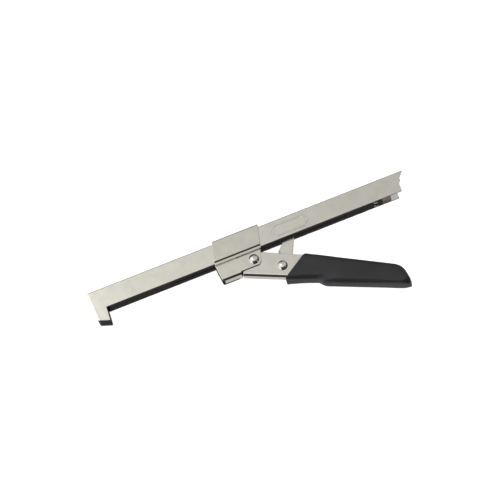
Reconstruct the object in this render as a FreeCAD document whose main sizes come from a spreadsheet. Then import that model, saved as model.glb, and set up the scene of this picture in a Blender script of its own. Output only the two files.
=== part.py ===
import FreeCAD, Part
import math
import os
import Sketcher

# Sliding-jaw lid opener. Millimetres, +Z up. The tool lies on its side: X runs along the bar from the
# hook (-X) to the rear (+X), +Y is the tool's own up, and Z is its width.
# The bar and carriage pieces are drawn from the bar's top front corner, x to the rear and y up.
# The lever pieces are drawn from the pivot rivet, x along the lever.
# The strut is drawn from the link rivet, x towards its tip.

os.makedirs("parts", exist_ok=True)
doc = FreeCAD.newDocument("lid_opener")
sheet = doc.addObject("Spreadsheet::Sheet", "Sizes")


class Dim:
    """A size and the spreadsheet expression that gives it."""

    def __init__(self, value, text):
        self.value = value
        self.text = text

    def __add__(self, other):
        other = dim(other)
        return Dim(self.value + other.value, f"({self.text} + {other.text})")

    def __sub__(self, other):
        other = dim(other)
        return Dim(self.value - other.value, f"({self.text} - {other.text})")

    def __mul__(self, other):
        other = dim(other)
        return Dim(self.value * other.value, f"({self.text} * {other.text})")

    def __truediv__(self, other):
        other = dim(other)
        return Dim(self.value / other.value, f"({self.text} / {other.text})")

    def __neg__(self):
        return Dim(-self.value, f"(0 - {self.text})")


def dim(size):
    return size if isinstance(size, Dim) else Dim(float(size), f"({size:.4f})")


SIZES = {
    "half_bar": 140.05,
    "bar_drop": 46.56,
    "mid_plane": 9.9,
    "bar_len": 280.0,
    "bar_high": 17.0,
    "bar_half": 7.5,
    "sheet_t": 1.2,
    "hook_front": 25.6,
    "hook_inner": 29.1,
    "hook_x": 12.2,
    "wall_end": 276.6,
    "end_slant": 3.7,
    "rail_front": 14.2,
    "rail_rear": 256.1,
    "rail_t": 1.1,
    "slot_front": 68.0,
    "slot_rear": 224.0,
    "slot_half": 1.65,
    "rack_front": 84.0,
    "rack_pitch": 4.0,
    "rack_teeth": 36.0,
    "rack_half": 2.6,
    "rack_root": 2.0,
    "rack_crest": 3.0,
    "pad_proud": 0.6,
    "serration": 0.5,
    "clip_front": 263.5,
    "clip_rear": 270.0,
    "stop_x": 186.2,
    "stop_r": 0.85,
    "stop_high": 1.3,
    "sleeve_top": 1.65,
    "sleeve_half": 9.9,
    "lip_half": 9.05,
    "lip_low": 18.6,
    "sleeve_front": 112.4,
    "sleeve_rear": 152.8,
    "sleeve_rake": 4.6,
    "bracket_half": 6.6,
    "bracket_low": 30.9,
    "web_low": 33.0,
    "pivot_x": 139.6,
    "pivot_y": 25.2,
    "link_x": 159.6,
    "link_y": 38.8,
    "lever_angle": 26.0,
    "pawl_angle": 59.8,
    "lever_half": 5.15,
    "lever_top": 6.9,
    "lever_low": 12.5,
    "lever_nose": 7.5,
    "grip_half": 9.9,
    "rivet_r": 2.5,
    "running_gap": 0.08,
    "head_r": 4.4,
    "head_high": 2.3,
    "small_r": 1.2,
    "small_head_r": 1.9,
    "small_head_high": 0.8,
    "spacer_r": 3.7,
    "pawl_half": 1.25,
    "pawl_len": 40.7,
    "side_gap": 0.3,
    "wire_r": 0.3,
    "coil_r": 6.0,
    "emblem_x": 176.5,
    "emblem_y": 9.4,
    "emblem_high": 0.3,
}

for row, (alias, size) in enumerate(SIZES.items(), start=1):
    sheet.set(f"A{row}", alias.replace("_", " "))
    sheet.set(f"B{row}", str(size))
    sheet.setAlias(f"B{row}", alias)
doc.recompute()

S = {alias: Dim(size, f"Sizes.{alias}") for alias, size in SIZES.items()}


def bind(thing, path, size):
    """Binds a property to a size's spreadsheet expression."""
    thing.setExpression(path, dim(size).text)


def place(thing, x, y, z, angle=None):
    """Puts a piece at x, y, z, turned about Z by angle."""
    turn = FreeCAD.Rotation(FreeCAD.Vector(0, 0, 1), dim(angle).value if angle else 0)
    thing.Placement = FreeCAD.Placement(
        FreeCAD.Vector(dim(x).value, dim(y).value, dim(z).value), turn
    )
    bind(thing, "Placement.Base.x", x)
    bind(thing, "Placement.Base.y", y)
    bind(thing, "Placement.Base.z", z)
    if angle:
        bind(thing, "Placement.Rotation.Angle", angle)


def place_on_bar(thing):
    place(thing, -S["half_bar"], S["bar_drop"], S["mid_plane"])


def place_on_lever(thing):
    x = S["pivot_x"] - S["half_bar"]
    y = S["bar_drop"] - S["pivot_y"]
    place(thing, x, y, S["mid_plane"], -S["lever_angle"])


def place_on_link(thing, angle=None):
    x = S["link_x"] - S["half_bar"]
    y = S["bar_drop"] - S["link_y"]
    place(thing, x, y, S["mid_plane"], angle)


def new_body(name):
    body = doc.addObject("PartDesign::Body", name)
    body.Label = name
    return body


def new_sketch(body, name, role="XY_Plane", offset=None):
    plane = [f for f in body.Origin.OriginFeatures if f.Role == role][0]
    sketch = body.newObject("Sketcher::SketchObject", name)
    sketch.AttachmentSupport = [(plane, "")]
    sketch.MapMode = "FlatFace"
    if offset is not None:
        sketch.AttachmentOffset.Base.z = dim(offset).value
        bind(sketch, "AttachmentOffset.Base.z", offset)
    return sketch


def hold(sketch, rules):
    """Fixes points' distances from the sketch origin. Each rule is (kind, edge, point, size)."""
    rules = [(kind, edge, point, dim(size)) for kind, edge, point, size in rules]
    made = [Sketcher.Constraint(k, -1, 1, edge, point, size.value) for k, edge, point, size in rules]
    for index, rule in zip(sketch.addConstraint(made), rules):
        sketch.setExpression(f"Constraints[{index}]", rule[3].text)


def outline(sketch, corners):
    """A closed outline of straight edges through the corners."""
    first = sketch.GeometryCount
    count = len(corners)
    flat = [FreeCAD.Vector(dim(x).value, dim(y).value, 0) for x, y in corners]
    sketch.addGeometry([Part.LineSegment(flat[i], flat[(i + 1) % count]) for i in range(count)])
    sketch.addConstraint(
        [
            Sketcher.Constraint("Coincident", first + i, 2, first + (i + 1) % count, 1)
            for i in range(count)
        ]
    )
    rules = []
    for i, (x, y) in enumerate(corners):
        rules.append(("DistanceX", first + i, 1, x))
        rules.append(("DistanceY", first + i, 1, y))
    hold(sketch, rules)


def circle(sketch, x, y, radius):
    middle = FreeCAD.Vector(dim(x).value, dim(y).value, 0)
    radius = dim(radius)
    edge = sketch.addGeometry(Part.Circle(middle, FreeCAD.Vector(0, 0, 1), radius.value))
    hold(sketch, [("DistanceX", edge, 3, x), ("DistanceY", edge, 3, y)])
    index = sketch.addConstraint(Sketcher.Constraint("Radius", edge, radius.value))
    sketch.setExpression(f"Constraints[{index}]", radius.text)


def extrude(body, kind, sketch, length, symmetric=True, reverse=False):
    """Pads or pockets a sketch and returns the feature."""
    feature = body.newObject(f"PartDesign::{kind}", f"{kind}_{sketch.Name}")
    feature.Profile = sketch
    feature.SideType = "Symmetric" if symmetric else "One side"
    feature.Reversed = reverse
    feature.Length = dim(length).value
    bind(feature, "Length", length)
    sketch.Visibility = False
    doc.recompute()
    return feature


def pad_outline(body, name, corners, half, role="XY_Plane"):
    sketch = new_sketch(body, name, role)
    outline(sketch, corners)
    return extrude(body, "Pad", sketch, dim(half) * 2)


def cut_outline(body, name, corners, half, role="XY_Plane"):
    sketch = new_sketch(body, name, role)
    outline(sketch, corners)
    return extrude(body, "Pocket", sketch, dim(half) * 2)


def cut_circles(body, name, circles, half, role="XY_Plane"):
    sketch = new_sketch(body, name, role)
    for x, y, radius in circles:
        circle(sketch, x, y, radius)
    return extrude(body, "Pocket", sketch, dim(half) * 2)


def round_edges(body, name, radius, wanted):
    """Rounds the edges for which wanted(edge's two end points) is true."""
    base = body.Tip
    names = []
    for i, edge in enumerate(base.Shape.Edges, start=1):
        ends = [v.Point for v in edge.Vertexes]
        if len(ends) == 2 and wanted(ends[0], ends[1]):
            names.append(f"Edge{i}")
    if not names:
        raise RuntimeError(f"{name}: no edge to round on {base.Name} {base.State}")
    fillet = body.newObject("PartDesign::Fillet", name)
    fillet.Base = (base, names)
    fillet.Radius = dim(radius).value
    bind(fillet, "Radius", radius)
    doc.recompute()
    return fillet


def along_z(a, b):
    return math.hypot(a.x - b.x, a.y - b.y) < 1e-4


def near(value, target, slack=0.05):
    return abs(value - target) < slack


def cylinder(name, radius, low, high):
    thing = doc.addObject("Part::Cylinder", name)
    bind(thing, "Radius", radius)
    bind(thing, "Height", dim(high) - low)
    bind(thing, "Placement.Base.z", low)
    return thing


def dome(name, radius, high, seat, up=True):
    """A domed rivet head whose flat side is at z = seat."""
    radius = dim(radius)
    high = dim(high)
    ball_r = (radius * radius + high * high) / (high * 2)
    ball = doc.addObject("Part::Sphere", f"{name}_ball")
    bind(ball, "Radius", ball_r)
    bind(ball, "Placement.Base.z", dim(seat) + high - ball_r if up else dim(seat) - high + ball_r)
    low = dim(seat) if up else dim(seat) - high
    drum = cylinder(f"{name}_drum", radius, low, low + high)
    head = doc.addObject("Part::MultiCommon", name)
    head.Shapes = [ball, drum]
    return head


def rivet(name, radius, reach, head_r, head_high):
    """A shank through z = -reach to reach with a domed head at each end."""
    shank = cylinder(f"{name}_shank", radius, -dim(reach) - 0.2, dim(reach) + 0.2)
    near_head = dome(f"{name}_head_near", head_r, head_high, reach)
    far_head = dome(f"{name}_head_far", head_r, head_high, -dim(reach), up=False)
    whole = doc.addObject("Part::MultiFuse", name)
    whole.Shapes = [shank, near_head, far_head]
    whole.Label = name
    return whole


def tube(name, outer, inner, low, high):
    wall = cylinder(f"{name}_wall", outer, low, high)
    bore = cylinder(f"{name}_bore", inner, dim(low) - 1, dim(high) + 1)
    cut = doc.addObject("Part::Cut", name)
    cut.Base = wall
    cut.Tool = bore
    cut.Label = name
    return cut


def serrated(front_top, front_low, teeth, depth):
    """Points down a jaw face from its top to its bottom, with vee teeth."""
    points = []
    for i in range(teeth):
        for share, sunk in ((i / teeth, 0.0), ((i + 0.5) / teeth, 1.0)):
            x = dim(front_top[0]) + (dim(front_low[0]) - front_top[0]) * share + dim(depth) * sunk
            y = dim(front_top[1]) + (dim(front_low[1]) - front_top[1]) * share
            points.append((x, y))
    points.append(front_low)
    return points


pieces = []

# ---------------------------------------------------------------- bar
t = S["sheet_t"]

# Main bar: a folded channel open at the rear and below, its nose and hook closed by the front wall.
bar = new_body("main_bar")
hook_foot = S["hook_x"] - 0.8
pad_outline(
    bar,
    "bar_side",
    [
        (0.0, 0.0),
        (S["bar_len"], 0.0),
        (S["bar_len"], -S["bar_high"]),
        (S["hook_x"], -S["bar_high"]),
        (hook_foot, -S["hook_inner"]),
        (1.7, -S["hook_front"]),
    ],
    S["bar_half"],
)
half = SIZES["bar_half"]
round_edges(
    bar,
    "bar_bends",
    1.2,
    lambda a, b: (near(abs(a.z), half) and near(a.z, b.z) and near(a.y, 0) and near(b.y, 0))
    or (near(abs(a.z), half) and near(a.z, b.z) and a.x < 2 and b.x < 2)
    or (near(a.x, 0) and near(b.x, 0) and near(a.y, 0) and near(b.y, 0)),
)
cut_outline(
    bar,
    "bar_inside",
    [
        (t, -t),
        (S["bar_len"] + 5, -t),
        (S["bar_len"] + 5, -S["bar_high"] - 15),
        (t + 1.7, -S["bar_high"] - 15),
        (t + 1.7, -S["hook_front"]),
    ],
    S["bar_half"] - t,
)
cut_outline(
    bar,
    "wall_ends",
    [
        (S["wall_end"], -3.4),
        (S["wall_end"] + 10, -3.4),
        (S["wall_end"] + 10, -20.0),
        (S["wall_end"] - 3.0, -20.0),
        (S["wall_end"] - 2.6, -11.0),
    ],
    S["bar_half"] + 2,
)
cut_outline(
    bar,
    "lip_under",
    [
        (S["wall_end"] + 1.4, -t),
        (S["wall_end"] + 10, -t),
        (S["wall_end"] + 10, -5.0),
        (S["wall_end"] + 1.4, -5.0),
    ],
    S["bar_half"] + 2,
)
# The rear end is cut at a slant: the far wall and the far side of the lip are shorter.
slant = new_sketch(bar, "slanted_end", "XZ_Plane")
outline(
    slant,
    [
        (S["bar_len"], S["bar_half"]),
        (S["bar_len"] + 3, S["bar_half"]),
        (S["bar_len"] + 3, -S["bar_half"] - 1),
        (S["bar_len"] - S["end_slant"], -S["bar_half"] - 1),
        (S["bar_len"] - S["end_slant"], -S["bar_half"]),
    ],
)
extrude(bar, "Pocket", slant, 80)
far_end = new_sketch(bar, "far_wall_end", offset=-S["bar_half"])
far_wall_end = S["wall_end"] - S["end_slant"]
outline(
    far_end,
    [
        (far_wall_end, -3.4),
        (far_wall_end + 10, -3.4),
        (far_wall_end + 10, -20.0),
        (far_wall_end - 2.6, -20.0),
        (far_wall_end - 2.6, -11.0),
    ],
)
extrude(bar, "Pocket", far_end, 5.0)
emblem = new_sketch(bar, "emblem_ring", offset=S["bar_half"])
lozenge = [(-18.0, 0.0), (-12.0, 5.0), (12.0, 5.0), (18.0, 0.0), (12.0, -5.0), (-12.0, -5.0)]
for scale_x, scale_y in ((1.0, 1.0), (0.93, 0.8)):
    outline(
        emblem,
        [(S["emblem_x"] + x * scale_x, -S["emblem_y"] + y * scale_y) for x, y in lozenge],
    )
extrude(bar, "Pad", emblem, S["emblem_high"], symmetric=False)
cut_circles(bar, "stop_hole", [(S["stop_x"], 0.0, S["stop_r"])], 4.0, role="XZ_Plane")
place_on_bar(bar)
pieces.append(bar)

# Slot rail: the strip that closes the channel from below, with the strut's slot down its middle.
rail = new_body("slot_rail")
rail_half = S["bar_half"] - t
pad_outline(
    rail,
    "rail_side",
    [
        (S["rail_front"], -S["bar_high"]),
        (S["rail_rear"], -S["bar_high"]),
        (S["rail_rear"], S["rail_t"] - S["bar_high"]),
        (S["rail_front"], S["rail_t"] - S["bar_high"]),
    ],
    rail_half,
)
slot = new_sketch(rail, "rail_slot", "XZ_Plane")
outline(
    slot,
    [
        (S["slot_front"], -S["slot_half"]),
        (S["slot_rear"], -S["slot_half"]),
        (S["slot_rear"], S["slot_half"]),
        (S["slot_front"], S["slot_half"]),
    ],
)
rivet_row = S["rail_rear"] - 5.8
for side in (-1, 1):
    circle(slot, rivet_row, 3.9 * side, S["small_r"])
extrude(rail, "Pocket", slot, 60)
place_on_bar(rail)
pieces.append(rail)

# Rack: sloped teeth face the hook, so the strut can push back on them.
rack = new_body("ratchet_rack")
rack_end = S["rack_front"] + S["rack_pitch"] * S["rack_teeth"] + 3
rack_points = [(S["rack_front"] - 3, -t), (S["rack_front"] - 3, -S["rack_root"])]
for i in range(int(SIZES["rack_teeth"])):
    start = S["rack_front"] + S["rack_pitch"] * i
    rack_points.append((start, -S["rack_root"]))
    rack_points.append((start + S["rack_pitch"] * 0.78, -S["rack_crest"]))
    rack_points.append((start + S["rack_pitch"] * 0.95, -S["rack_crest"]))
rack_points += [(rack_end, -S["rack_root"]), (rack_end, -t)]
pad_outline(rack, "rack_side", rack_points, S["rack_half"])
place_on_bar(rack)
pieces.append(rack)

# Fixed jaw pad: fills the hook between its cheeks and stands proud of them on the jaw face.
fixed_pad = new_body("fixed_jaw_pad")
face_top = (S["hook_x"] + S["pad_proud"] - 0.05, -S["bar_high"] - 0.5)
face_low = (hook_foot + S["pad_proud"], -S["hook_inner"])
pad_outline(
    fixed_pad,
    "fixed_side",
    [
        (t + 1.7, -11.0),
        (S["hook_x"] - 1.5, -11.0),
        (S["hook_x"] - 1.5, -S["bar_high"] - 0.5),
    ]
    + serrated(face_top, face_low, 6, -S["serration"])
    + [(t + 1.7, -S["hook_front"] - 0.43)],
    rail_half,
)
place_on_bar(fixed_pad)
pieces.append(fixed_pad)

# Tail clip: a folded L that plugs the rear of the channel; its foot is riveted to the rail's end.
clip = new_body("tail_clip")
clip_low = S["bar_high"] - S["rail_t"]
pad_outline(
    clip,
    "clip_side",
    [
        (rivet_row - 3.2, -clip_low),
        (S["clip_front"], -clip_low),
        (S["clip_front"], -S["bar_high"]),
        (S["clip_rear"], -S["bar_high"]),
        (S["clip_rear"], -t),
        (S["clip_rear"] - 1.4, -t),
        (S["clip_rear"] - 1.4, -clip_low + 1.1),
        (rivet_row - 3.2, -clip_low + 1.1),
    ],
    rail_half,
)
round_edges(clip, "clip_bend", 0.9, lambda a, b: along_z(a, b) and near(a.x, SIZES["clip_rear"])
            and a.y < -14)
cut_circles(
    clip,
    "clip_holes",
    [(rivet_row, 3.9, S["small_r"]), (rivet_row, -3.9, S["small_r"])],
    30.0,
    role="XZ_Plane",
)
place_on_bar(clip)
pieces.append(clip)

# Tail rivets: hold the clip's foot to the rail; their axes stand along the tool's up direction.
for side, tail_name in ((1, "tail_rivet_near"), (-1, "tail_rivet_far")):
    small = rivet(tail_name, S["small_r"], S["rail_t"], S["small_head_r"], S["small_head_high"])
    upright = FreeCAD.Rotation(FreeCAD.Vector(1, 0, 0), -90)
    small.Placement = FreeCAD.Placement(FreeCAD.Vector(0, 0, 0), upright)
    bind(small, "Placement.Base.x", rivet_row - S["half_bar"])
    bind(small, "Placement.Base.y", S["bar_drop"] - clip_low)
    bind(small, "Placement.Base.z", S["mid_plane"] + 3.9 * side)
    pieces.append(small)

# Stop pin: a spur pressed through the top web.
stop_shank = cylinder("stop_shank", S["stop_r"], -t, S["stop_high"])
stop_tip = dome("stop_tip", S["stop_r"], 0.4, S["stop_high"])
stop = doc.addObject("Part::MultiFuse", "stop_pin")
stop.Shapes = [stop_shank, stop_tip]
stop.Label = "stop_pin"
stop.Placement = FreeCAD.Placement(
    FreeCAD.Vector(0, 0, 0), FreeCAD.Rotation(FreeCAD.Vector(1, 0, 0), -90)
)
bind(stop, "Placement.Base.x", S["stop_x"] - S["half_bar"])
bind(stop, "Placement.Base.y", S["bar_drop"])
bind(stop, "Placement.Base.z", S["mid_plane"])
pieces.append(stop)

# ---------------------------------------------------------------- carriage

# Slide sleeve: a folded section round the bar, joggled in to a pair of lips, its ends raked.
sleeve = new_body("slide_sleeve")
top = S["sleeve_top"]
wide = S["sleeve_half"]
lip = S["lip_half"]
section = [(top, wide), (-15.6, wide), (-17.0, lip), (-S["lip_low"], lip)]
section += [(-S["lip_low"], lip - t), (-16.85, lip - t), (-15.2, wide - t), (top - t, wide - t)]
mirrored = [(y, -z) for y, z in reversed(section)]
section_sketch = new_sketch(sleeve, "sleeve_section", "YZ_Plane")
section_sketch.AttachmentOffset.Base.z = 104.0
outline(section_sketch, section + mirrored)
extrude(sleeve, "Pad", section_sketch, 52, symmetric=False)
wide_now = wide.value
top_now = top.value
round_edges(sleeve, "sleeve_bends", 1.6, lambda a, b: near(a.y, top_now) and near(b.y, top_now)
            and near(abs(a.z), wide_now) and near(abs(b.z), wide_now) and abs(a.x - b.x) > 8)
round_edges(sleeve, "sleeve_inner_bends", 0.6, lambda a, b: near(a.y, top_now - 1.2)
            and near(b.y, top_now - 1.2) and near(abs(a.z), wide_now - 1.2) and abs(a.x - b.x) > 8)
rake = S["sleeve_rake"]
reach_low = S["lip_low"] + 2
cut_outline(
    sleeve,
    "sleeve_front_cut",
    [
        (100.0, 4.0),
        (S["sleeve_front"] + 0.534, 4.0),
        (S["sleeve_front"] - rake - 0.454, -reach_low),
        (100.0, -reach_low),
    ],
    14,
)
cut_outline(
    sleeve,
    "sleeve_rear_cut",
    [
        (160.0, 4.0),
        (S["sleeve_rear"] + 0.534, 4.0),
        (S["sleeve_rear"] - rake - 0.454, -reach_low),
        (160.0, -reach_low),
    ],
    14,
)
place_on_bar(sleeve)
pieces.append(sleeve)

# Jaw bracket: a narrower U below the bar, with side flanges that meet the sleeve's lips.
bracket = new_body("jaw_bracket")
cheek_top = S["bar_high"] + 0.4
low = S["bracket_low"]
web = S["web_low"]
pad_outline(
    bracket,
    "bracket_side",
    [
        (107.7, -cheek_top),
        (148.2, -cheek_top),
        (146.6, -22.0),
        (145.6, -26.0),
        (144.6, -28.6),
        (142.4, -low),
        (126.4, -low),
        (125.4, -web),
        (110.8, -web),
        (109.2, -web),
    ],
    S["bracket_half"],
)
pad_outline(
    bracket,
    "bracket_flange",
    [
        (108.4, -cheek_top),
        (148.0, -cheek_top),
        (147.8, -S["lip_low"]),
        (108.2, -S["lip_low"]),
    ],
    lip - t,
)
bracket_half = SIZES["bracket_half"]
web_low = SIZES["web_low"]
round_edges(bracket, "bracket_web_bends", 2.4, lambda a, b: near(a.y, -web_low) and near(b.y, -web_low)
            and near(abs(a.z), bracket_half) and near(abs(b.z), bracket_half) and abs(a.x - b.x) > 1)
cut_outline(
    bracket,
    "bracket_inside",
    [
        (100.0, -cheek_top + 3),
        (156.0, -cheek_top + 3),
        (156.0, -web - 4),
        (126.0, -web - 4),
        (126.0, t - web),
        (100.0, t - web),
    ],
    S["bracket_half"] - t,
)
# The web stops short of the jaw face and is slit along its far side, up to a bridge at the rear.
web_start = 111.0
web_gap = new_sketch(bracket, "web_gap", "XZ_Plane")
outline(
    web_gap,
    [
        (104.0, -5.4),
        (web_start, -5.4),
        (web_start, -4.5),
        (123.6, -4.5),
        (123.6, -2.3),
        (web_start, -2.3),
        (web_start, 5.4),
        (104.0, 5.4),
    ],
)
extrude(bracket, "Pocket", web_gap, 90)
cut_circles(bracket, "bracket_pivot", [(S["pivot_x"], -S["pivot_y"], S["rivet_r"])], 12)
place_on_bar(bracket)
pieces.append(bracket)

# Moving jaw pad: between the bracket's cheeks, its serrated face towards the hook.
moving_pad = new_body("moving_jaw_pad")
moving_top = (107.2, -S["bar_high"] - 1.6)
moving_low = (108.6, t - web)
pad_outline(
    moving_pad,
    "moving_side",
    serrated(moving_top, moving_low, 6, S["serration"])
    + [(112.0, t - web), (112.0, -S["bar_high"] - 1.6)],
    S["bracket_half"] - t,
)
place_on_bar(moving_pad)
pieces.append(moving_pad)

# Pivot rivet: pressed in the bracket's cheeks.
pivot = rivet("pivot_rivet", S["rivet_r"], S["bracket_half"], S["head_r"], S["head_high"])
place(pivot, S["pivot_x"] - S["half_bar"], S["bar_drop"] - S["pivot_y"], S["mid_plane"])
pieces.append(pivot)

# ---------------------------------------------------------------- lever

# Lever channel: a U with its web below; the rear part narrows to a tang inside the grip.
lever = new_body("lever_channel")
lever_top = S["lever_top"]
lever_low = S["lever_low"]
link_along = 23.9377
link_across = -3.4562
nose = [(-6.4, 2.6), (-4.9, 4.9), (-2.6, 6.4)]
pad_outline(
    lever,
    "lever_side",
    [(-S["lever_nose"] - 0.4, -lever_low - 1.4), (-S["lever_nose"] + 0.4, 0.0)]
    + nose
    + [(0.0, lever_top), (40.0, lever_top - 0.2), (46.0, 4.4), (114.0, -2.2), (117.0, -5.0)]
    + [(116.0, -9.4), (60.0, -lever_low)],
    S["lever_half"],
)
low_now = SIZES["lever_low"]
half_now = SIZES["lever_half"]
round_edges(lever, "lever_bends", 2.4, lambda a, b: near(abs(a.z), half_now) and near(abs(b.z), half_now)
            and near(a.z, b.z) and a.y < -9 and b.y < -9 and abs(a.x - b.x) > 20)
cut_outline(
    lever,
    "lever_inside",
    [
        (-20.0, 20.0),
        (-20.0, t - lever_low - 1.65),
        (60.0, t - lever_low),
        (125.0, -8.0),
        (125.0, 20.0),
    ],
    S["lever_half"] - t,
)
cut_circles(
    lever,
    "lever_holes",
    [
        (0.0, 0.0, S["rivet_r"] + S["running_gap"]),
        (link_along, link_across, S["rivet_r"]),
    ],
    12,
)
place_on_lever(lever)
pieces.append(lever)

# Grip: a vinyl sleeve over the tang, with a finger swell below and a drooping end.
grip = new_body("grip_sleeve")
grip_half = SIZES["grip_half"]
grip_mouth = (30.0, -12.6)
grip_corners = [
    (27.6, -15.9),
    grip_mouth,
    (41.6, 7.3),
    (122.3, 2.15),
    (134.85, -14.4),
    (59.8, -16.45),
    (53.4, -13.8),
]
pad_outline(grip, "grip_side", grip_corners, S["grip_half"])


def at(point, corner):
    return near(point.x, corner[0]) and near(point.y, corner[1])


grip_turns = ((3, 11.0), (4, 3.5), (5, 5.0), (6, 5.0))
for index, radius in grip_turns:
    round_edges(
        grip,
        f"grip_turn_{index}",
        radius,
        lambda a, b: along_z(a, b) and at(a, grip_corners[index]),
    )
round_edges(
    grip,
    "grip_rounding",
    2.5,
    lambda a, b: near(abs(a.z), grip_half)
    and near(a.z, b.z)
    and not at(a, grip_mouth)
    and not at(b, grip_mouth),
)
cut_outline(
    grip,
    "grip_socket",
    [
        (-S["lever_nose"] - 0.4, -lever_low - 1.4),
        (-S["lever_nose"] - 0.4, lever_top),
        (40.0, lever_top - 0.2),
        (46.0, 4.4),
        (114.0, -2.2),
        (117.0, -5.0),
        (116.0, -9.4),
        (60.0, -lever_low),
    ],
    S["lever_half"],
)
place_on_lever(grip)
pieces.append(grip)

# Link rivet and its two spacers keep the strut on the mid-plane between the lever's cheeks.
link = rivet("link_rivet", S["rivet_r"], S["lever_half"], S["head_r"], S["head_high"])
place_on_link(link)
pieces.append(link)
inner_face = S["lever_half"] - t
strut_face = S["pawl_half"] + S["side_gap"]
near_spacer = tube("spacer_near", S["spacer_r"], S["rivet_r"], strut_face, inner_face)
place_on_link(near_spacer)
pieces.append(near_spacer)
far_spacer = tube("spacer_far", S["spacer_r"], S["rivet_r"], -inner_face, -strut_face)
place_on_link(far_spacer)
pieces.append(far_spacer)
bush = tube("pivot_bush", S["spacer_r"], S["rivet_r"] + S["running_gap"], -inner_face, inner_face)
place_on_lever(bush)
pieces.append(bush)

# Return spring: a coil round the near spacer, one short leg up the strut's front edge, one on the lever's web.
WIRE_R = SIZES["wire_r"]
COIL_R = SIZES["coil_r"]
COIL_PITCH = 0.64
COIL_TURNS = 2.0
LEG_LONG = 12.4
TAIL_LONG = 8.2
coil_low = SIZES["pawl_half"] + 0.45 + WIRE_R
coil = Part.makeHelix(COIL_PITCH, COIL_PITCH * COIL_TURNS, COIL_R, 0.0, True)
coil.translate(FreeCAD.Vector(0, 0, coil_low))
coil_turn = SIZES["pawl_angle"] + 90 - 6
coil.rotate(FreeCAD.Vector(0, 0, 0), FreeCAD.Vector(0, 0, 1), coil_turn)


def helix_end(turned, rise, way, reach):
    """The foot and the tip of a straight leg that leaves the left-hand coil along its tangent."""
    turn = math.radians(turned)
    point = FreeCAD.Vector(COIL_R * math.cos(turn), COIL_R * math.sin(turn), rise)
    slope = COIL_PITCH / (2 * math.pi)
    tangent = FreeCAD.Vector(COIL_R * math.sin(turn), -COIL_R * math.cos(turn), slope)
    tangent.normalize()
    return point, point + tangent * (way * reach)


tail_foot, tail_tip = helix_end(coil_turn, coil_low, -1, TAIL_LONG)
leg_foot, leg_tip = helix_end(coil_turn, coil_low + COIL_PITCH * COIL_TURNS, 1, LEG_LONG)
path = Part.Wire(
    [Part.makeLine(tail_tip, tail_foot)] + coil.Edges + [Part.makeLine(leg_foot, leg_tip)]
)
ring = Part.Wire([Part.makeCircle(WIRE_R, tail_tip, tail_foot - tail_tip)])
spring = doc.addObject("Part::Feature", "return_spring")
spring.Label = "return_spring"
spring.Shape = path.makePipeShell([ring], True, True)
place_on_link(spring)
pieces.append(spring)

# ---------------------------------------------------------------- strut

# Pawl plate: a flat strut on the link rivet, tapering to a blunt tip inside the bar.
pawl = new_body("pawl_plate")
pad_outline(
    pawl,
    "pawl_side",
    [
        (-4.2, -3.4),
        (-1.8, -5.2),
        (2.0, -6.0),
        (11.7, -6.0),
        (28.5, -4.4),
        (38.6, -2.6),
        (S["pawl_len"], -1.0),
        (S["pawl_len"], 0.8),
        (38.6, 2.2),
        (22.4, 3.7),
        (11.2, 6.2),
        (4.0, 6.4),
        (-1.8, 5.2),
        (-4.6, 2.6),
        (-5.4, -0.6),
    ],
    S["pawl_half"],
)
cut_circles(pawl, "pawl_hole", [(0.0, 0.0, S["rivet_r"] + S["running_gap"])], 6)
place_on_link(pawl, S["pawl_angle"])
pieces.append(pawl)

# ---------------------------------------------------------------- check and export
doc.recompute()
for thing in doc.Objects:
    bad = [word for word in thing.State if word in ("Invalid", "Error")]
    if bad:
        raise RuntimeError(f"{thing.Name} is {bad}")
for thing in pieces:
    shape = thing.Shape
    if shape.isNull() or not shape.isValid():
        raise RuntimeError(f"{thing.Label} has no valid shape")
    if len(shape.Solids) != 1:
        raise RuntimeError(f"{thing.Label} has {len(shape.Solids)} solids")
    shape.exportStep(f"parts/{thing.Label}.step")
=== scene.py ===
import math

import bmesh
import bpy
from mathutils import Matrix, Vector


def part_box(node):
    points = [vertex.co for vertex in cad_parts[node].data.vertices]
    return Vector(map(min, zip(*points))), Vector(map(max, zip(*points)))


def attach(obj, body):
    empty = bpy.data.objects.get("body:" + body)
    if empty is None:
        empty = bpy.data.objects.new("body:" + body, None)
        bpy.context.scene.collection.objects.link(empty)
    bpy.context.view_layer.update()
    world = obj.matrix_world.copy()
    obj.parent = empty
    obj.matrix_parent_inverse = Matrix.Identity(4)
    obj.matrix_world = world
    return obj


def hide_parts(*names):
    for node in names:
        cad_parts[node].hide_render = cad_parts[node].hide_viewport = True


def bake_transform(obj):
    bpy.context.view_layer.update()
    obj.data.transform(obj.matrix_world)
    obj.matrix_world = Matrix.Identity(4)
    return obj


MM = 0.001

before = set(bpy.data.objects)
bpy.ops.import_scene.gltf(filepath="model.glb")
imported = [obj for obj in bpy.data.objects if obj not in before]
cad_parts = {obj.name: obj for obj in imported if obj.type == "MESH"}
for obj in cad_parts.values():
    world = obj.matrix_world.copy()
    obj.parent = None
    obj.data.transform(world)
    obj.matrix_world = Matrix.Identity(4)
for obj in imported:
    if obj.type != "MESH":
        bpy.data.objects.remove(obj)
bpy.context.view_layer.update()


# ------------------------------------------------------------------ node helpers


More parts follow.
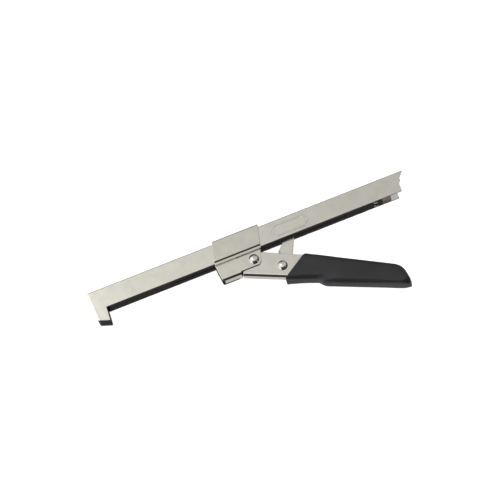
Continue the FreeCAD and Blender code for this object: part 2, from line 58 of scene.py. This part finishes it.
class Nodes:
    """A node tree that is filled by short calls."""

    def __init__(self, tree):
        self.tree = tree

    def add(self, kind, **sockets):
        node = self.tree.nodes.new(kind)
        for name, value in sockets.items():
            self.feed(node.inputs[name.replace("_", " ")], value)
        return node

    def feed(self, socket, value):
        if isinstance(value, bpy.types.NodeSocket):
            self.tree.links.new(value, socket)
        else:
            socket.default_value = value

    def math(self, operation, first, second=0.0, clamp=False):
        node = self.tree.nodes.new("ShaderNodeMath")
        node.operation = operation
        node.use_clamp = clamp
        self.feed(node.inputs[0], first)
        self.feed(node.inputs[1], second)
        return node.outputs[0]

    def vector_math(self, operation, first, second):
        node = self.tree.nodes.new("ShaderNodeVectorMath")
        node.operation = operation
        self.feed(node.inputs[0], first)
        self.feed(node.inputs[1], second)
        return node.outputs["Value"]

    def smooth(self, value, low, high, to_low=0.0, to_high=1.0):
        node = self.tree.nodes.new("ShaderNodeMapRange")
        node.interpolation_type = "SMOOTHSTEP"
        for name, number in (("Value", value), ("From Min", low), ("From Max", high)):
            self.feed(node.inputs[name], number)
        node.inputs["To Min"].default_value = to_low
        node.inputs["To Max"].default_value = to_high
        return node.outputs["Result"]

    def mix(self, factor, first, second):
        node = self.tree.nodes.new("ShaderNodeMix")
        node.data_type = "RGBA"
        self.feed(node.inputs["Factor"], factor)
        self.feed(node.inputs["A"], first)
        self.feed(node.inputs["B"], second)
        return node.outputs["Result"]

    def ramp(self, value, stops):
        node = self.tree.nodes.new("ShaderNodeValToRGB")
        points = node.color_ramp.elements
        while len(points) < len(stops):
            points.new(0.5)
        for point, (where, tone) in zip(points, stops):
            point.position = where
            point.color = (*tone, 1.0) if isinstance(tone, tuple) else (tone, tone, tone, 1.0)
        self.feed(node.inputs["Fac"], value)
        return node.outputs["Color"]

    def noise(self, place, size, detail=3.0, roughness=0.55, stretch=(1.0, 1.0, 1.0), shift=0.0):
        """Noise whose largest blotches are about size metres across."""
        move = self.tree.nodes.new("ShaderNodeMapping")
        self.feed(move.inputs["Vector"], place)
        move.inputs["Scale"].default_value = stretch
        move.inputs["Location"].default_value = (shift, shift * 0.7, shift * 0.3)
        node = self.tree.nodes.new("ShaderNodeTexNoise")
        self.feed(node.inputs["Vector"], move.outputs["Vector"])
        node.inputs["Scale"].default_value = 1.0 / size
        node.inputs["Detail"].default_value = detail
        node.inputs["Roughness"].default_value = roughness
        return node.outputs["Fac"]

    def bump(self, height, strength, distance, normal=None):
        node = self.tree.nodes.new("ShaderNodeBump")
        node.inputs["Strength"].default_value = strength
        node.inputs["Distance"].default_value = distance
        self.feed(node.inputs["Height"], height)
        if normal is not None:
            self.feed(node.inputs["Normal"], normal)
        return node.outputs["Normal"]


def new_material(name):
    material = bpy.data.materials.new(name)
    material.use_nodes = True
    nodes = Nodes(material.node_tree)
    shader = material.node_tree.nodes["Principled BSDF"]
    place = nodes.add("ShaderNodeTexCoord").outputs["Object"]
    return material, nodes, shader, place


# ------------------------------------------------------------------ materials

# Sizes of the marks on the steel, and how deep its relief is.
CLOUD = 9 * MM
SPECK = 0.5 * MM
DRAWN = 0.35 * MM
SCUFF = 1.6 * MM
RELIEF = 0.03 * MM
SMOOTHEST = 0.06
# Painted shade: faces that look down (-Y) and lie below this Y (metres) are darkened.
SHADE_BELOW_Y = 0.036


def metal(
    name, tone, rough, grain=(1.0, 1.0, 1.0), edge_brighten=0.35, bump=0.05, shift=0.0, shade_below=None, round_off=0.5
):
    """Plated or uncoated steel: cloudy tone, fine drawn grain, scuffs, and edges brightened partly by wear
    and partly by a painted highlight.

    shade_below=(x, tone) paints shade on the lower faces that face -Y beyond that x, darkening them to that
    tone.
    """
    material, nodes, shader, place = new_material(name)
    rounded = nodes.add("ShaderNodeBevel", Radius=round_off * MM)
    rounded.samples = 6
    facing = nodes.add("ShaderNodeNewGeometry").outputs["True Normal"]
    agree = nodes.vector_math("DOT_PRODUCT", rounded.outputs["Normal"], facing)
    edge = nodes.smooth(agree, 0.995, 0.86)
    cloud = nodes.noise(place, CLOUD, 4, 0.6, shift=shift)
    speck = nodes.noise(place, SPECK, 2, 0.7, shift=shift + 3)
    drawn = nodes.noise(place, DRAWN, 2, 0.5, grain, shift + 7)
    scuff = nodes.smooth(nodes.noise(place, SCUFF, 5, 0.75, grain, shift + 11), 0.60, 0.74)
    dark = tuple(c * 0.95 for c in tone)
    light = tuple(min(1.0, c * 1.03) for c in tone)
    # Edges get a brighter base colour: partly rubbed wear, partly a painted highlight in place of the bright
    # edge lines.
    edge_highlight_tone = (*[min(1.0, c * 1.22) for c in tone], 1.0)
    colour = nodes.ramp(cloud, [(0.32, dark), (0.52, tone), (0.72, light)])
    finish = nodes.mix(nodes.math("MULTIPLY", edge, edge_brighten), colour, edge_highlight_tone)
    # Painted shade: faces that turn down (-Y), low on the part and beyond x, darken to a near-black tone with
    # faint specks.
    if shade_below:
        shade_from, shade_tone = shade_below
        where = nodes.add("ShaderNodeSeparateXYZ", Vector=place)
        lie = nodes.add("ShaderNodeTexCoord").outputs["Normal"]
        down = nodes.smooth(nodes.add("ShaderNodeSeparateXYZ", Vector=lie).outputs["Y"], -0.45, -0.75)
        behind = nodes.smooth(where.outputs["X"], shade_from - 0.3 * MM, shade_from + 0.3 * MM)
        below = nodes.smooth(where.outputs["Y"], SHADE_BELOW_Y + 1 * MM, SHADE_BELOW_Y)
        painted_shade = nodes.math("MULTIPLY", down, nodes.math("MULTIPLY", behind, below))
        finish = nodes.mix(painted_shade, finish, nodes.ramp(speck, [(0.3, shade_tone), (0.7, shade_tone * 2.2)]))
    nodes.feed(shader.inputs["Base Color"], finish)
    uneven = nodes.math("MULTIPLY", nodes.math("SUBTRACT", cloud, 0.5), 0.08)
    rubbed = nodes.math("MULTIPLY", scuff, 0.10)
    fine = nodes.math("MULTIPLY", nodes.math("SUBTRACT", speck, 0.5), 0.08)
    total = nodes.math("ADD", nodes.math("ADD", uneven, rubbed), nodes.math("ADD", fine, rough))
    nodes.feed(shader.inputs["Roughness"], nodes.math("MAXIMUM", total, SMOOTHEST, clamp=True))
    relief = nodes.math("ADD", nodes.math("MULTIPLY", drawn, 0.7), nodes.math("MULTIPLY", cloud, 0.35))
    nodes.feed(shader.inputs["Normal"], nodes.bump(relief, bump, RELIEF, rounded.outputs["Normal"]))
    shader.inputs["Metallic"].default_value = 1.0
    return material


def dull(material):
    """Almost no gloss, so the near-black painted shade of these parts stays dark."""
    shader = material.node_tree.nodes["Principled BSDF"]
    shader.inputs["Metallic"].default_value = 0.0
    shader.inputs["Specular IOR Level"].default_value = 0.03


def vinyl(name):
    """Soft matte vinyl: fine pebble, faint flow marks, and a dull bloom."""
    material, nodes, shader, place = new_material(name)
    pebble = nodes.noise(place, 0.45 * MM, 3, 0.6)
    flow = nodes.noise(place, 14 * MM, 3, 0.5, (0.5, 1.0, 1.0), 5)
    handled = nodes.noise(place, 26 * MM, 4, 0.65, shift=9)
    colour = nodes.ramp(handled, [(0.3, (0.0062, 0.0062, 0.0070)), (0.7, (0.0102, 0.0102, 0.0115))])
    nodes.feed(shader.inputs["Base Color"], colour)
    sheen = nodes.math("MULTIPLY", nodes.math("SUBTRACT", flow, 0.5), 0.18)
    grit = nodes.math("MULTIPLY", nodes.math("SUBTRACT", pebble, 0.5), 0.12)
    marks = nodes.math("ADD", sheen, grit)
    nodes.feed(shader.inputs["Roughness"], nodes.math("ADD", marks, 0.46, clamp=True))
    first = nodes.bump(pebble, 0.22, 0.05 * MM)
    nodes.feed(shader.inputs["Normal"], nodes.bump(flow, 0.15, 0.25 * MM, first))
    shader.inputs["Specular IOR Level"].default_value = 0.5
    return material


BROWN_END = 0.1238
BROWN_BLOTCH = 2 * MM
BROWN_TONES = [(0.3, (0.10, 0.068, 0.050)), (0.7, (0.24, 0.17, 0.13))]


def brown_tail_front(material):
    """Colour the tail clip dark brown in blotches as far back as x = 123.8 mm. Behind that its plate stays
    bright.
    """
    nodes = Nodes(material.node_tree)
    shader = material.node_tree.nodes["Principled BSDF"]
    place = nodes.add("ShaderNodeTexCoord").outputs["Object"]
    tail_x = nodes.add("ShaderNodeSeparateXYZ", Vector=place).outputs["X"]
    plate_tone = shader.inputs["Base Color"].links[0].from_socket
    brown = nodes.ramp(nodes.noise(place, BROWN_BLOTCH), BROWN_TONES)
    behind_brown = nodes.smooth(tail_x, BROWN_END - 0.5 * MM, BROWN_END)
    nodes.feed(shader.inputs["Base Color"], nodes.mix(behind_brown, brown, plate_tone))


ALONG_X = (0.06, 1.0, 1.0)
NICKEL = (0.80, 0.775, 0.69)
plated_sleeve = metal("nickel_plate_sleeve", (0.725, 0.70, 0.62), 0.15, ALONG_X, round_off=0.25)
# Painted shade on the downward faces: over the whole bar, and on the bracket beyond x = -13.8 mm.
plated_bar = metal("nickel_plate_bar", NICKEL, 0.15, ALONG_X, shade_below=(-1.0, 0.02), round_off=0.3)
plated_bracket = metal(
    "nickel_plate_bracket", (0.76, 0.735, 0.655), 0.15, ALONG_X, shade_below=(-0.0138, 0.02), shift=1
)
plated_lever = metal("nickel_plate_lever", (0.785, 0.76, 0.68), 0.16, ALONG_X, shift=2)
tail_plate = metal("nickel_plate_tail", (0.74, 0.72, 0.68), 0.22, shift=5)
polished = metal("polished_nickel", (0.84, 0.82, 0.77), 0.09, bump=0.03, shift=4)
# Painted shade: the rail and rack are near-black where the inside of the bar's channel lies in shade.
shaded_rail = metal("rail_painted_shade", (0.013, 0.0113, 0.0100), 0.45, ALONG_X, edge_brighten=0.4, bump=0.12, shift=6)
# Painted shade: the jaw pads are near-black blocks where the undersides of the hook and the jaw lie in shade.
shaded_jaw = metal("jaw_painted_shade", (0.010, 0.0088, 0.0088), 0.38, edge_brighten=0.8, bump=0.15, shift=8)
wire = metal("spring_wire", (0.42, 0.41, 0.40), 0.24, bump=0.05, shift=10)
grip_vinyl = vinyl("black_vinyl")
dull(shaded_rail)
dull(shaded_jaw)
brown_tail_front(tail_plate)

FINISH = {
    "main_bar": plated_bar,
    "slot_rail": shaded_rail,
    "ratchet_rack": shaded_rail,
    "fixed_jaw_pad": shaded_jaw,
    "moving_jaw_pad": shaded_jaw,
    "tail_clip": tail_plate,
    "tail_rivet_near": polished,
    "tail_rivet_far": polished,
    "stop_pin": polished,
    "slide_sleeve": plated_sleeve,
    "jaw_bracket": plated_bracket,
    "pivot_rivet": polished,
    "link_rivet": polished,
    "lever_channel": plated_lever,
    "pawl_plate": plated_lever,
    "pivot_bush": polished,
    "spacer_near": polished,
    "spacer_far": polished,
    "return_spring": wire,
}
for node, material in FINISH.items():
    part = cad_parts[node]
    part.data.materials.clear()
    part.data.materials.append(material)


# ------------------------------------------------------------------ mesh helpers


def skin(shape, rings):
    """Join each ring of vertices to the next with quads."""
    around = len(rings[0])
    for first, second in zip(rings, rings[1:]):
        for k in range(around):
            n = (k + 1) % around
            shape.faces.new((first[k], first[n], second[n], second[k]))


def smooth_object(shape, name, material):
    """Turn the bmesh into an object with smooth faces and that material."""
    bmesh.ops.recalc_face_normals(shape, faces=shape.faces)
    mesh = bpy.data.meshes.new(name)
    shape.to_mesh(mesh)
    shape.free()
    for face in mesh.polygons:
        face.use_smooth = True
    item = bpy.data.objects.new(name, mesh)
    bpy.context.scene.collection.objects.link(item)
    mesh.materials.append(material)
    return item


# ------------------------------------------------------------------ grip

# Side outline in the lever's own frame (mm from the pivot rivet): top and bottom lines, front to rear.
LEVER_TURN = math.radians(-26.0)
GRIP_TOP = [
    (41.6, 7.25), (55, 7.05), (68, 6.3), (82, 5.45), (95, 4.6), (107, 3.85), (113, 3.45),
    (118, 3.0), (122, 1.6), (125.2, -1.2), (127.8, -4.8), (129.6, -7.7), (130.6, -9.7), (131.0, -11.2),
]
GRIP_LOW = [
    (27.7, -15.85), (33, -15.4), (39, -14.8), (46, -14.15), (52.7, -13.75), (55.7, -14.6), (59.7, -16.1),
    (66, -16.0), (80, -15.5), (95, -14.9), (108, -14.3), (119, -13.8), (126.5, -13.55), (130.2, -12.9),
]
GRIP_HALF = 9.7
GRIP_END_HALF = 6.0
STATIONS = 140
AROUND = 96
# The thicker collar at the front, and the length over which its front edge is rounded.
COLLAR = 3.4
COLLAR_SWELL = 1.014
LIP_LONG = 0.9
LIP_DROP = 0.035
# The rear end narrows over this length, by this curve.
NOSE_LONG = 7.0
NOSE_POWER = 2.6
# The section is a rounded box, squarer towards the front.
BOX_POWER = 4.2
FRONT_POWER = 3.4
FRONT_LONG = 26.0
RIDGE = 0.16


def along(points, share):
    """The point at that share of a smooth line through the points, which are evenly shared out."""
    count = len(points) - 1
    at = min(share * count, count - 1e-6)
    i = int(at)
    f = at - i
    p = [Vector(points[min(max(k, 0), count)]) for k in (i - 1, i, i + 1, i + 2)]
    return 0.5 * (
        2 * p[1] + (p[2] - p[0]) * f + (2 * p[0] - 5 * p[1] + 4 * p[2] - p[3]) * f * f
        + (3 * p[1] - p[0] - 3 * p[2] + p[3]) * f ** 3
    )


def lever_point(x, y, z):
    """A point of the lever's frame, given in mm, in the frame of the whole tool, in metres."""
    low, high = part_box("pivot_bush")
    pivot_at = (low + high) / 2
    c, s = math.cos(LEVER_TURN), math.sin(LEVER_TURN)
    return Vector((
        pivot_at.x + MM * (x * c - y * s),
        pivot_at.y + MM * (x * s + y * c),
        pivot_at.z + MM * z,
    ))


def rounded_section(turn, half_high, half_wide, power):
    c, s = math.cos(turn), math.sin(turn)
    reach = (abs(c) ** power + abs(s) ** power) ** (-1 / power)
    return half_high * c * reach, half_wide * s * reach


def grip_ring(shape, share):
    """The vertices round the grip at that share of its length."""
    top, low = along(GRIP_TOP, share), along(GRIP_LOW, share)
    middle, across = (top + low) / 2, (top - low) / 2
    from_front = (middle - (Vector(GRIP_TOP[0]) + Vector(GRIP_LOW[0])) / 2).length
    to_rear = (middle - (Vector(GRIP_TOP[-1]) + Vector(GRIP_LOW[-1])) / 2).length
    lip = (COLLAR_SWELL if from_front < COLLAR else 1.0) - LIP_DROP * max(0.0, 1 - from_front / LIP_LONG) ** 2
    nose = max(0.0, 1 - to_rear / NOSE_LONG)
    half_wide = GRIP_HALF * lip * (1 - nose ** NOSE_POWER) ** 0.5 if nose < 1 else 0.0
    half_wide = max(half_wide, GRIP_END_HALF)
    power = BOX_POWER + FRONT_POWER * max(0.0, 1 - from_front / FRONT_LONG) ** 2
    ring = []
    for k in range(AROUND):
        turn = 2 * math.pi * k / AROUND
        high, wide = rounded_section(turn, across.length * lip, half_wide, power)
        high += RIDGE * (1 if high > 0 else -1) if k in (0, AROUND // 2) else 0.0
        point = middle + across.normalized() * high
        ring.append(shape.verts.new(lever_point(point.x, point.y, wide)))
    return ring


def close_end(shape, ring, steps):
    """Close an end with rings that shrink to those shares of the first."""
    middle = sum((v.co for v in ring), Vector()) / len(ring)
    rings = [ring]
    for step in steps:
        rings.append([shape.verts.new(middle + (v.co - middle) * step) for v in ring])
    skin(shape, rings)
    shape.faces.new(rings[-1])


def build_grip():
    shape = bmesh.new()
    rings = [grip_ring(shape, i / STATIONS) for i in range(STATIONS + 1)]
    skin(shape, rings)
    close_end(shape, rings[0], (0.9, 0.72, 0.45, 0.2))
    close_end(shape, rings[-1], (0.6, 0.25))
    return smooth_object(shape, "vinyl_grip", grip_vinyl)


grip = build_grip()
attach(grip, "lever")
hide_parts("grip_sleeve")


# ------------------------------------------------------------------ return spring

# The CAD coil's sizes (mm) round the link rivet; the long leg lies along the strut.
WIRE_R = 0.3
COIL_R = 6.0
COIL_PITCH = 0.64
COIL_TURNS = 2
COIL_LOW = 2.0
COIL_START = math.radians(143.8)
LEG_LONG = 12.4
TAIL_LONG = 8.2
TURN_STEPS = 64
LEG_STEPS = 16
WIRE_SIDES = 12


def spring_line():
    """The middle of the wire, in mm from the link rivet, and the way in which the leg leaves the coil."""
    slope = COIL_PITCH / (2 * math.pi)
    outward = Vector((math.cos(COIL_START), math.sin(COIL_START), 0)) * COIL_R
    leave = Vector((outward.y, -outward.x, slope)).normalized()
    foot = outward + Vector((0, 0, COIL_LOW))
    line = [foot - leave * TAIL_LONG * (1 - i / LEG_STEPS) for i in range(LEG_STEPS)]
    for i in range(COIL_TURNS * TURN_STEPS + 1):
        turn = COIL_START - 2 * math.pi * i / TURN_STEPS
        rise = COIL_LOW + COIL_PITCH * i / TURN_STEPS
        line.append(Vector((COIL_R * math.cos(turn), COIL_R * math.sin(turn), rise)))
    top = line[-1]
    line += [top + leave * LEG_LONG * (i + 1) / LEG_STEPS for i in range(LEG_STEPS)]
    return line, leave


def build_spring():
    low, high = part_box("link_rivet")
    link_at = (low + high) / 2
    line, leave = spring_line()
    line = [link_at + point * MM for point in line]
    shape = bmesh.new()
    rings = []
    for i, point in enumerate(line):
        ahead = (line[min(i + 1, len(line) - 1)] - line[max(i - 1, 0)]).normalized()
        side_way = ahead.cross(Vector((0, 0, 1))).normalized()
        up_way = side_way.cross(ahead)
        ring = []
        for k in range(WIRE_SIDES):
            turn = 2 * math.pi * k / WIRE_SIDES
            offset = side_way * math.cos(turn) + up_way * math.sin(turn)
            ring.append(shape.verts.new(point + offset * WIRE_R * MM))
        rings.append(ring)
    skin(shape, rings)
    shape.faces.new(rings[0])
    shape.faces.new(rings[-1])
    return smooth_object(shape, "coil_spring", wire), link_at, leave


spring, link_at, leave = build_spring()
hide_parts("return_spring")
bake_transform(spring)


# ------------------------------------------------------------------ floor and overhead card


def flat_stage(name, half_x, half_y, centre):
    mesh = bpy.data.meshes.new(name)
    corners = [(-half_x, -half_y, 0), (half_x, -half_y, 0), (half_x, half_y, 0), (-half_x, half_y, 0)]
    mesh.from_pydata(corners, [], [(0, 1, 2, 3)])
    item = bpy.data.objects.new(name, mesh)
    item.location = centre
    bpy.context.scene.collection.objects.link(item)
    return item


def pale_floor():
    floor = flat_stage("floor", 12.0, 12.0, (0, 0, -0.0002))
    paper, nodes, shader, place = new_material("pale_floor")
    tones = [(0.3, (0.86, 0.86, 0.86)), (0.7, (0.88, 0.88, 0.88))]
    nodes.feed(shader.inputs["Base Color"], nodes.ramp(nodes.noise(place, 4 * MM, 3), tones))
    shader.inputs["Roughness"].default_value = 0.9
    shader.inputs["Specular IOR Level"].default_value = 0.1
    floor.data.materials.append(paper)
    floor.visible_glossy = False


CARD_HIGH = 0.75
WINDOW_AT = (-0.40, 0.16, 0.0)


def overhead_card():
    """A card that only reflections see, brighter towards the hook and the lever, with one bright window."""
    card = flat_stage("overhead_card", 0.75, 0.42, (0.0, 0.20, CARD_HIGH))
    material = bpy.data.materials.new("card_light")
    material.use_nodes = True
    material.node_tree.nodes.clear()
    nodes = Nodes(material.node_tree)
    place = nodes.add("ShaderNodeTexCoord").outputs["Object"]
    split = nodes.add("ShaderNodeSeparateXYZ", Vector=place)
    along_bar = nodes.smooth(split.outputs["X"], -0.22, 0.22, 0.86, 0.56)
    towards_lever = nodes.smooth(split.outputs["Y"], 0.02, -0.22, 1.0, 1.15)
    from_window = nodes.vector_math("DISTANCE", place, WINDOW_AT)
    bright_spot = nodes.smooth(from_window, 0.24, 0.10, 0.0, 2.6)
    glow = nodes.math("MULTIPLY", along_bar, towards_lever)
    light = nodes.add("ShaderNodeEmission")
    nodes.feed(light.inputs["Strength"], nodes.math("ADD", glow, bright_spot))
    out = nodes.add("ShaderNodeOutputMaterial")
    nodes.feed(out.inputs["Surface"], light.outputs[0])
    card.data.materials.append(material)
    card.visible_camera = False
    card.visible_diffuse = False
    card.visible_shadow = False


# ------------------------------------------------------------------ world and sun

# Brightness from straight down (0) to straight up (1), on the lever's side (-Y) and on the other.
NEAR_SIDE = [(0.0, 0.66), (0.05, 0.62), (0.13, 0.03), (0.88, 0.035), (0.955, 0.5), (1.0, 0.7)]
FAR_SIDE = [(0.0, 0.40), (0.2, 0.28), (0.34, 0.03), (0.60, 0.06), (0.86, 0.40), (1.0, 0.7)]


def studio_world():
    """White to the camera. Reflections see white walls, and the dark strips that the bends mirror."""
    world = bpy.data.worlds.new("studio")
    bpy.context.scene.world = world
    world.use_nodes = True
    world.node_tree.nodes.clear()
    sky = Nodes(world.node_tree)
    look = sky.add("ShaderNodeTexCoord").outputs["Generated"]
    way = sky.add("ShaderNodeSeparateXYZ", Vector=look)
    way_x, way_y, way_z = (way.outputs[axis] for axis in "XYZ")
    rise = sky.math("ADD", sky.math("MULTIPLY", way_z, 0.5), 0.5)
    is_far = sky.smooth(way_y, -0.16, 0.10)
    side = sky.mix(is_far, sky.ramp(rise, NEAR_SIDE), sky.ramp(rise, FAR_SIDE))
    # The far side is open to white walls at the left, the right and above, but not low on the right.
    above = sky.smooth(way_z, 0.20, 0.34)
    far_open = sky.math("MAXIMUM", sky.smooth(sky.math("ABSOLUTE", way_x), 0.25, 0.45), above)
    right_dark = sky.math("MULTIPLY", sky.smooth(way_x, 0.80, 0.88), sky.math("SUBTRACT", 1.0, above))
    far_open = sky.math("MULTIPLY", far_open, sky.math("SUBTRACT", 1.0, right_dark))
    # The near side is open at the left, and in a narrow window at the right.
    right_window = sky.math("MULTIPLY", sky.smooth(way_x, 0.58, 0.64), sky.smooth(way_x, 0.80, 0.74))
    right_window = sky.math("MULTIPLY", right_window, sky.smooth(way_z, 0.08, 0.16))
    leftwards = sky.math("MULTIPLY", way_x, -1.0)
    near_open = sky.math("MAXIMUM", sky.smooth(leftwards, 0.58, 0.68), right_window)
    far_part = sky.math("MULTIPLY", far_open, is_far)
    near_part = sky.math("MULTIPLY", near_open, sky.math("SUBTRACT", 1.0, is_far))
    wall_tone = sky.ramp(sky.smooth(way_x, 0.2, -0.7, 0.5, 0.95), [(0.0, 0.0), (1.0, 1.0)])
    walls = sky.mix(sky.math("ADD", far_part, near_part, clamp=True), side, wall_tone)
    toned = sky.add("ShaderNodeBackground", Color=walls)
    plain = sky.add("ShaderNodeBackground", Color=(1, 1, 1, 1), Strength=1.0)
    pick = sky.add("ShaderNodeMixShader")
    sky.feed(pick.inputs["Fac"], sky.add("ShaderNodeLightPath").outputs["Is Camera Ray"])
    sky.feed(pick.inputs[1], toned.outputs[0])
    sky.feed(pick.inputs[2], plain.outputs[0])
    out = sky.add("ShaderNodeOutputWorld")
    sky.feed(out.inputs["Surface"], pick.outputs[0])


def soft_sun():
    sun = bpy.data.lights.new("soft_sun", "SUN")
    sun.energy = 3.9
    sun.angle = math.radians(60)
    sun.use_shadow = False
    sun_item = bpy.data.objects.new("soft_sun", sun)
    sun_item.rotation_euler = (math.radians(20), math.radians(-12), 0)
    sun_item.visible_glossy = False
    bpy.context.scene.collection.objects.link(sun_item)


# ------------------------------------------------------------------ camera

CAMERA_AWAY = 3.0
CAMERA_TURN, CAMERA_RISE, CAMERA_ROLL = (math.radians(a) for a in (-2.212, 69.626, -19.368))
CAMERA_AIM = Vector((-0.574, 32.531, 9.9)) * MM
CAMERA_LENS = 261.515


def place_camera():
    back = Vector((
        math.sin(CAMERA_TURN) * math.cos(CAMERA_RISE),
        -math.cos(CAMERA_TURN) * math.cos(CAMERA_RISE),
        math.sin(CAMERA_RISE),
    ))
    right = Vector((math.cos(CAMERA_TURN), math.sin(CAMERA_TURN), 0))
    up = back.cross(right)
    tilted_right = right * math.cos(CAMERA_ROLL) + up * math.sin(CAMERA_ROLL)
    tilted_up = up * math.cos(CAMERA_ROLL) - right * math.sin(CAMERA_ROLL)
    lens = bpy.data.cameras.new("camera")
    lens.lens = CAMERA_LENS
    lens.sensor_width = 36.0
    lens.clip_start, lens.clip_end = 0.1, 50.0
    camera = bpy.data.objects.new("camera", lens)
    turned = Matrix((tilted_right, tilted_up, back)).transposed().to_4x4()
    camera.matrix_world = Matrix.Translation(CAMERA_AIM + back * CAMERA_AWAY) @ turned
    bpy.context.scene.collection.objects.link(camera)
    bpy.context.scene.camera = camera


pale_floor()
overhead_card()
studio_world()
soft_sun()
place_camera()

scene = bpy.context.scene
scene.view_settings.view_transform = "Standard"
scene.view_settings.look = "None"

bpy.context.view_layer.update()
